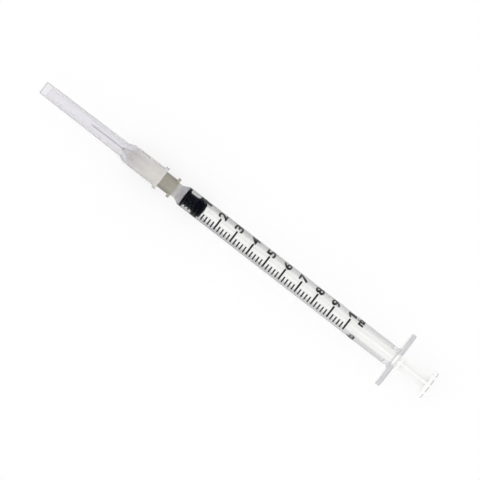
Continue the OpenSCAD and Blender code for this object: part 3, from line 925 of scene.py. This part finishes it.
# %% Outside of the stopper
SEAL_BITE = 0.004 * MM
WAIST_R = 2.06 * MM
LIP_REACH = 0.06 * MM
LIP_LEN = 0.95 * MM
LIP_SLOPE = 0.35 * MM
REAR_SLOPE = 0.6 * MM
REAR_LEN = 2.85 * MM
LIP_ROUND = 0.08 * MM
LIP_HOLLOW = 0.2 * MM
REAR_HOLLOW = 0.3 * MM
REAR_ROUND = 0.25 * MM
END_ROUND = 0.75 * MM

seal_r = bore_r + SEAL_BITE
front_x = stopper_lo.x - LIP_REACH
rear_x = stopper_hi.x
outside = [
    (front_x, 0, 0),
    (front_x, seal_r, LIP_ROUND),
    (front_x + LIP_LEN, seal_r, LIP_ROUND),
    (front_x + LIP_LEN + LIP_SLOPE, WAIST_R, LIP_HOLLOW),
    (rear_x - REAR_LEN - REAR_SLOPE, WAIST_R, REAR_HOLLOW),
    (rear_x - REAR_LEN, seal_r, REAR_ROUND),
    (rear_x, seal_r, END_ROUND),
]
print(f"stopper from {front_x / MM:.2f} to {rear_x / MM:.2f} mm, seal radius {seal_r / MM:.3f} mm")

# %% [markdown]
# Behind, the stopper has the cavity that holds the rod's barb: a neck, then a head that is straight for a
# third of its length and tapers to the front from there. The barb is part of the rod, whose box gives its
# front end, and the cavity keeps the same small gap from it all round.

# %% Rubber stopper
BARB_GAP = 0.05 * MM
BARB_NECK_R = 0.75 * MM
BARB_HEAD_R = 1.2 * MM
BARB_TIP_R = 0.55 * MM
BARB_HEAD_LEN = 1.7 * MM
BARB_TAPER_SHARE = 2 / 3
CAVITY_ROUND = 0.05 * MM

rod_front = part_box("plunger_rod")[0].x
barb_front = rod_front - BARB_GAP
barb_full = rod_front + BARB_HEAD_LEN * BARB_TAPER_SHARE
barb_back = rod_front + BARB_HEAD_LEN + BARB_GAP
cavity = [
    (rear_x, BARB_NECK_R + BARB_GAP, CAVITY_ROUND),
    (barb_back, BARB_NECK_R + BARB_GAP, CAVITY_ROUND),
    (barb_back, BARB_HEAD_R + BARB_GAP, CAVITY_ROUND),
    (barb_full, BARB_HEAD_R + BARB_GAP, CAVITY_ROUND),
    (barb_front, BARB_TIP_R + BARB_GAP, CAVITY_ROUND),
    (barb_front, 0, 0),
]
stopper_outline = rounded_outline(outside + cavity)
stopper = turned("rubber_stopper", stopper_outline, rubber_finish)
print("stopper:", len(stopper_outline), "outline points,", len(stopper.data.polygons), "faces")

# %% [markdown]
# Resin is dropped into the well round the tube and sets with a full, rounded skin that falls steeply to the
# tube at its front, where the frame's solid has only a cone. A power of the way along gives that curve.

# %% Resin bead
TUBE_GAP = 0.008 * MM
SKIN_T = 0.015 * MM
BEAD_STEPS = 20
BEAD_POWER = 2.4
BEAD_SIDES = 64

bead_lo, bead_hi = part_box("adhesive")
hub_nose_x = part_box("needle_hub")[0].x
well_r = bead_hi.z
inner_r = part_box("cannula")[1].z + TUBE_GAP
skin = []
for step in range(BEAD_STEPS + 1):
    share = step / BEAD_STEPS
    x = hub_nose_x + (bead_lo.x - hub_nose_x) * share
    skin.append((x, inner_r + SKIN_T + (well_r - inner_r) * (1 - share ** BEAD_POWER)))
bead_outline = [(bead_hi.x, inner_r), (bead_hi.x, well_r)] + skin + [(bead_lo.x, inner_r)]
resin_bead = turned("resin_bead", bead_outline, resin_finish, sides=BEAD_SIDES)
print("resin bead:", len(resin_bead.data.polygons), "faces")

# %% [markdown]
# Each new piece rides on the body that carries it. Where a piece takes the place of a node of the frame,
# that node is hidden.

# %% Tie the pieces to the frame
for piece in (lines, numbers, unit_marks):
    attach(piece, "barrel")
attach(stopper, "stopper")
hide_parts("stopper")
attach(resin_bead, "needle")
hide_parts("adhesive")
print("pieces tied")

# %% [markdown]
# Eyes and lamps need different surroundings. What is seen straight, in a mirror or through clear plastic
# should be a white studio, but that white mustn't light the object. Light Path tells the kinds of ray
# apart, and a ray that has met a matt surface counts as light, whatever it is after that.

# %% What counts as seen
def seen_directly(tree):
    """One for what is seen straight, off a gloss or through clear plastic, and zero for what lights."""
    kind = add_node(tree, "ShaderNodeLightPath").outputs
    mirrored = calc(tree, "MAXIMUM", kind["Is Glossy Ray"], kind["Is Transmission Ray"])
    before_diffuse = ramp(tree, kind["Diffuse Depth"], 0, 1, 1.0, 0.0)
    return calc(tree, "MULTIPLY", calc(tree, "MAXIMUM", kind["Is Camera Ray"], mirrored), before_diffuse)


# %% [markdown]
# The floor is a pale table top. On a pure white sweep a camera loses the floor, but the object must still
# cast its soft shadow, so the floor is part plain white and part a faint glow that only the camera, mirrors
# and clear plastic can see. The glow lifts the open floor to white and lights nothing.

# %% Floor
FLOOR_HALF = 12.0
FLOOR_WHITE = 0.94
FLOOR_GLOW = 0.7


def floor_finish():
    """Plain white, with a glow that only what is seen directly picks up."""
    finish = bpy.data.materials.new("pale_floor")
    finish.use_nodes = True
    tree = finish.node_tree
    tree.nodes.clear()
    plain = add_node(tree, "ShaderNodeBsdfDiffuse", {"Color": (FLOOR_WHITE, FLOOR_WHITE, FLOOR_WHITE, 1)})
    glow = add_node(tree, "ShaderNodeEmission", {"Color": (1, 1, 1, 1), "Strength": 1.0})
    share = calc(tree, "MULTIPLY", seen_directly(tree), FLOOR_GLOW)
    mixed = add_node(tree, "ShaderNodeMixShader",
                     {"Fac": share, 1: plain.outputs["BSDF"], 2: glow.outputs["Emission"]})
    add_node(tree, "ShaderNodeOutputMaterial", {"Surface": mixed.outputs["Shader"]})
    return finish


floor_z = cad_bounds[0].z
floor_shape = bmesh.new()
bmesh.ops.create_grid(floor_shape, x_segments=1, y_segments=1, size=FLOOR_HALF)
bmesh.ops.translate(floor_shape, verts=floor_shape.verts, vec=(0, 0, floor_z))
floor = keep_mesh("floor", floor_shape, floor_finish())
print(f"floor at {floor_z / MM:.2f} mm")

# %% [markdown]
# The light is that of a photographer's tent: even white from all round, which the world gives. Overhead the
# tent is open, as it is where a camera looks in. A gloss sees that opening dark, which keeps the black
# rubber black under the clear wall, and clear plastic sees it at less than half strength.

# %% World
SKY_LIGHT = 0.98
ROOF_IN_GLOSS = 0.02
ROOF_THROUGH = 0.4
ROOF_FROM_HEIGHT = 0.5


def world_light():
    """Even white light, and a tent to be seen that is open overhead for gloss and clear plastic."""
    world = bpy.data.worlds.new("tent")
    world.use_nodes = True
    tree = world.node_tree
    background = tree.nodes["Background"]
    direction = add_node(tree, "ShaderNodeTexCoord").outputs["Generated"]
    height = add_node(tree, "ShaderNodeSeparateXYZ", {"Vector": direction}).outputs["Z"]
    kind = add_node(tree, "ShaderNodeLightPath").outputs
    through = calc(tree, "MULTIPLY", kind["Is Transmission Ray"], ROOF_THROUGH)
    least = calc(tree, "MAXIMUM", kind["Is Camera Ray"], through)
    tent = calc(tree, "MAXIMUM", ramp(tree, height, 0.0, ROOF_FROM_HEIGHT, 1.0, ROOF_IN_GLOSS), least)
    strength = ramp(tree, seen_directly(tree), 0, 1, SKY_LIGHT, tent)
    background.inputs["Color"].default_value = (1, 1, 1, 1)
    tree.links.new(strength, background.inputs["Strength"])
    bpy.context.scene.world = world


world_light()
print("world light", SKY_LIGHT)

# %% [markdown]
# Two large soft lamps above, one stronger, let round parts show their form. A lamp's power is worked out
# from the brightness wanted on white paper at its distance. They are hidden from gloss, or their squares
# would lie as grey patches over the black rubber.

# %% Lamps
LAMP_REACH = 1.6
LAMP_SIZE = 2.4
KEY_SIDE = (-0.6, -0.5, 0.9)
KEY_ON_PAPER = 0.15
FILL_SIDE = (0.5, 0.6, 0.9)
FILL_ON_PAPER = 0.04


def soft_lamp(name, towards, paper):
    """A square lamp that lights white paper facing it to the given brightness at the object."""
    lamp = bpy.data.lights.new(name, "AREA")
    lamp.shape = "SQUARE"
    lamp.size = LAMP_SIZE
    lamp.energy = paper * math.pi ** 2 * LAMP_REACH ** 2
    stand = bpy.data.objects.new(name, lamp)
    away = Vector(towards).normalized()
    stand.location = away * LAMP_REACH
    stand.rotation_euler = (-away).to_track_quat("-Z", "Y").to_euler()
    stand.visible_glossy = False
    bpy.context.scene.collection.objects.link(stand)
    print(f"{name} lamp {lamp.energy:.2f} W")


soft_lamp("key", KEY_SIDE, KEY_ON_PAPER)
soft_lamp("fill", FILL_SIDE, FILL_ON_PAPER)

# %% [markdown]
# The camera looks straight down from over a metre away through a long lens, so the syringe lies almost
# without perspective, turned in the picture by the angle at which it was photographed.

# %% Camera
LENS = 300
SENSOR = 36
VIEW_ACROSS = 137.1 * MM
VIEW_TURN = math.radians(37.73)
VIEW_CENTRE = (29.79 * MM, -0.16 * MM)
NEAREST_SEEN = 0.01

camera_data = bpy.data.cameras.new("camera")
camera_data.lens = LENS
camera_data.sensor_width = SENSOR
camera_data.clip_start = NEAREST_SEEN
camera = bpy.data.objects.new("camera", camera_data)
camera.location = (*VIEW_CENTRE, VIEW_ACROSS * LENS / SENSOR)
camera.rotation_euler = (0, 0, VIEW_TURN)
bpy.context.scene.collection.objects.link(camera)
bpy.context.scene.camera = camera
bpy.context.scene.view_settings.view_transform = "Standard"
print(f"camera {camera.location.z:.3f} m above the axis")
